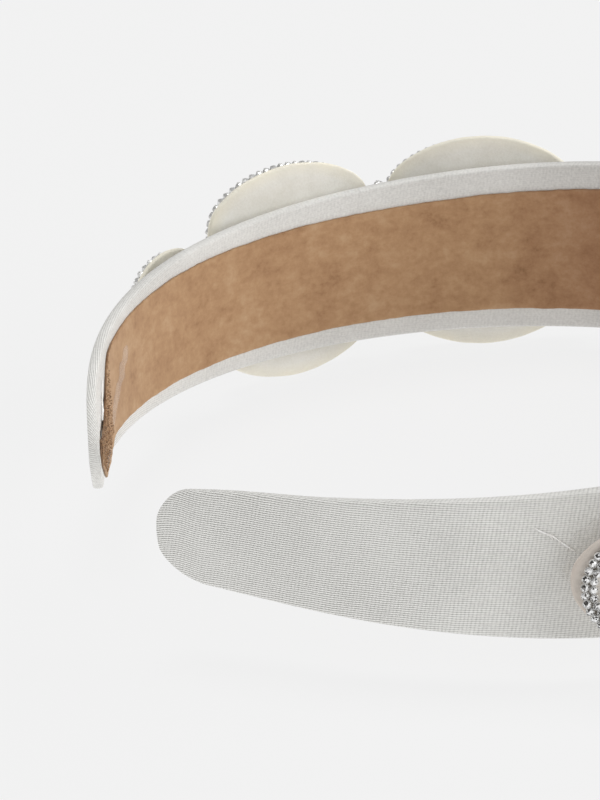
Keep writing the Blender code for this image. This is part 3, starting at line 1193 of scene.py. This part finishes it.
def add_medallions():
    places = row()
    add_large_medallions("crown", "crown", [s for s in places if abs(s) < HINGE], 0)
    add_large_medallions("left", "arm_left", [s for s in places[:-1] if s > HINGE], 3)
    add_large_medallions("right", "arm_right", [s for s in places[:0:-1] if s < -HINGE], 6)
    for side, s, number in (("left", places[-1], 9), ("right", places[0], 10)):
        outline = inset(clipped(*END_FELT, reaches(s)), END_SHRINK[side])
        z, margin, body = END_RISE[side], END_MARGIN[side], "arm_" + side
        add_medallion(side + "_end", s, z, outline, margin, END_LIFT, END_PEARL, body, number)
    for number, (side, sign) in enumerate((("left", 1), ("right", -1))):
        for up, edge in ((1, "upper"), (-1, "lower")):
            add_filler(side, edge, ROW_AT + FILLER_AT * sign, up, 10 + 2 * number + up)


# ---- traces of glue


def trace_line(knots, steps):
    """Points along a smooth line through (s, z) knots."""
    line = []
    last = len(knots) - 1
    for i in range(last):
        a, b, c, d = (Vector(knots[min(max(j, 0), last)]) for j in (i - 1, i, i + 1, i + 2))
        for k in range(steps):
            t = k / steps
            bent = (a * 2 - b * 5 + c * 4 - d) * (t * t / 2) + (b * 3 - a - c * 3 + d) * (t**3 / 2)
            line.append(b + (c - a) * (t / 2) + bent)
    line.append(Vector(knots[-1]))
    return line


def add_bead(name, finish, body, surface, seed, wide, high, knots):
    """A thread or smear of glue on the band: a low domed section that runs out at both ends."""
    line = trace_line(knots, 14)
    last = len(line) - 1
    build = Build()
    rings = []
    for i, here in enumerate(line):
        along = (line[min(i + 1, last)] - line[max(i - 1, 0)]).normalized()
        across = Vector((-along.y, along.x))
        share = i / last
        swell = math.sqrt(max(1 - (2 * share - 1) ** 4, 0.004))
        swell *= 1 + 0.45 * wander(share * 9, seed=seed)
        cos = []
        for k in range(10):
            angle = 2 * math.pi * k / 10
            foot = here + across * (wide / 2 * swell * math.cos(angle))
            rise = high * swell * max(math.sin(angle), 0.0) ** 1.2
            cos.append(surface(foot.x, foot.y, rise))
        rings.append(build.loop(cos))
    build.tube(rings)
    bead = build.make(name, finish)
    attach(bead, body)


def on_lining(s, z, rise):
    return cloth_at(s, -SUEDE_OFF - SUEDE - FILM_GAP - rise, z)


def on_fold(s, z, rise):
    return at(s, -SEAT - rise, z)


def on_satin(s, z, rise):
    swell = CROWNING * (1 - (z / half_width(s)) ** 2)
    return at(s, thickness(s) + swell + SEAT + rise, z)


def add_glue_traces():
    """Each trace has a width, a height and (s, z) knots."""
    left = "arm_left"
    knots = [(0.1500, 0.0040), (0.1531, 0.0018), (0.1559, -0.0002), (0.1597, -0.0020)]
    knots.append((0.1630, -0.0042))
    add_bead("glue_smear_1", "glue_film", left, on_lining, 1.1, 0.0032, 0.00004, knots)
    knots = [(0.1668, -0.0072), (0.1700, -0.0069), (0.1765, -0.0060)]
    add_bead("glue_smear_2", "glue_film", left, on_lining, 2.1, 0.0014, 0.00005, knots)
    knots = [(0.1683, 0.0052), (0.1705, 0.0038), (0.1722, 0.0019), (0.1730, 0.0004)]
    add_bead("glue_line", "clear_glue", left, on_fold, 3.1, 0.0006, 0.00035, knots)
    right = "arm_right"
    knots = [(-0.1398, 0.0055), (-0.1392, 0.0050), (-0.1390, 0.0044)]
    add_bead("glue_branch", "clear_glue", right, on_satin, 4.7, 0.00018, 0.00016, knots)
    knots = [(-0.1416, 0.0066), (-0.1403, 0.0058), (-0.1391, 0.0052), (-0.1375, 0.0038)]
    knots.append((-0.1360, 0.0026))
    add_bead("glue_strand", "clear_glue", right, on_satin, 4.1, 0.00032, 0.00022, knots)
    knots = [(-0.1372, -0.0022), (-0.1364, 0.0006), (-0.1350, 0.0038), (-0.1318, 0.0072)]
    add_bead("glue_film", "glue_film", right, on_satin, 5.1, 0.0028, 0.00005, knots)


# ---- camera, light and floor


def add_camera():
    """Looks from the photograph's side, level with its slight roll."""
    sin_a, cos_a = math.sin(VIEW_AZIMUTH), math.cos(VIEW_AZIMUTH)
    sin_e, cos_e = math.sin(VIEW_ELEVATION), math.cos(VIEW_ELEVATION)
    back = Vector((sin_a * cos_e, -cos_a * cos_e, sin_e))
    right = Vector((0.0, 0.0, 1.0)).cross(back).normalized()
    up = back.cross(right)
    c, s = math.cos(VIEW_ROLL), math.sin(VIEW_ROLL)
    columns = Matrix((right * c + up * s, up * c - right * s, back)).transposed()
    data = bpy.data.cameras.new("camera")
    data.lens = LENS
    camera = link(bpy.data.objects.new("camera", data))
    eye = CROWN + VIEW_TARGET + back * VIEW_DISTANCE
    camera.matrix_world = Matrix.Translation(eye) @ columns.to_4x4()
    bpy.context.scene.camera = camera


def add_area_light(name, direction, watts):
    data = bpy.data.lights.new(name, "AREA")
    data.shape = "DISK"
    data.size = LIGHT_SIZE
    data.energy = watts
    light = link(bpy.data.objects.new(name, data))
    away = Vector(direction).normalized()
    light.location = away * LIGHT_DISTANCE
    light.rotation_euler = away.to_track_quat("Z", "Y").to_euler()


def add_world():
    world = bpy.data.worlds.new("studio")
    world.use_nodes = True
    background = world.node_tree.nodes["Background"]
    background.inputs["Color"].default_value = (1.0, 1.0, 1.0, 1.0)
    background.inputs["Strength"].default_value = WORLD_STRENGTH
    bpy.context.scene.world = world


def add_floor():
    """A pale floor that glows a little, so that shadows on it stay faint."""
    mesh = bpy.data.meshes.new("floor")
    signs = ((-1, -1), (1, -1), (1, 1), (-1, 1))
    mesh.from_pydata([(FLOOR_HALF * x, FLOOR_HALF * y, 0.0) for x, y in signs], [], [(0, 1, 2, 3)])
    floor = link(bpy.data.objects.new("floor", mesh))
    floor.location.z = -FLOOR_DROP
    look = Look("floor")
    look.set(
        Base_Color=(0.06, 0.06, 0.06, 1.0),
        Roughness=1.0,
        Specular_IOR_Level=0.0,
        Emission_Color=(1.0, 1.0, 1.0, 1.0),
        Emission_Strength=0.83,
    )
    mesh.materials.append(look.material)
    floor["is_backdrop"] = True


def write_sizes():
    boxes = {"cad": cad_box, "visual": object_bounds()}
    plain = {name: [[float(v) for v in corner] for corner in box] for name, box in boxes.items()}


bpy.context.scene.view_settings.view_transform = "Standard"
add_camera()
add_world()
add_area_light("left", (-1.0, -0.15, 0.14), 6.6)
add_area_light("front", (0.45, -1.0, 0.45), 5.6)
add_area_light("right", (1.0, -0.7, 0.45), 11.2)
add_area_light("top", (0.1, 0.3, 1.0), 12.0)
add_floor()
add_band()
add_medallions()
add_glue_traces()
write_sizes()
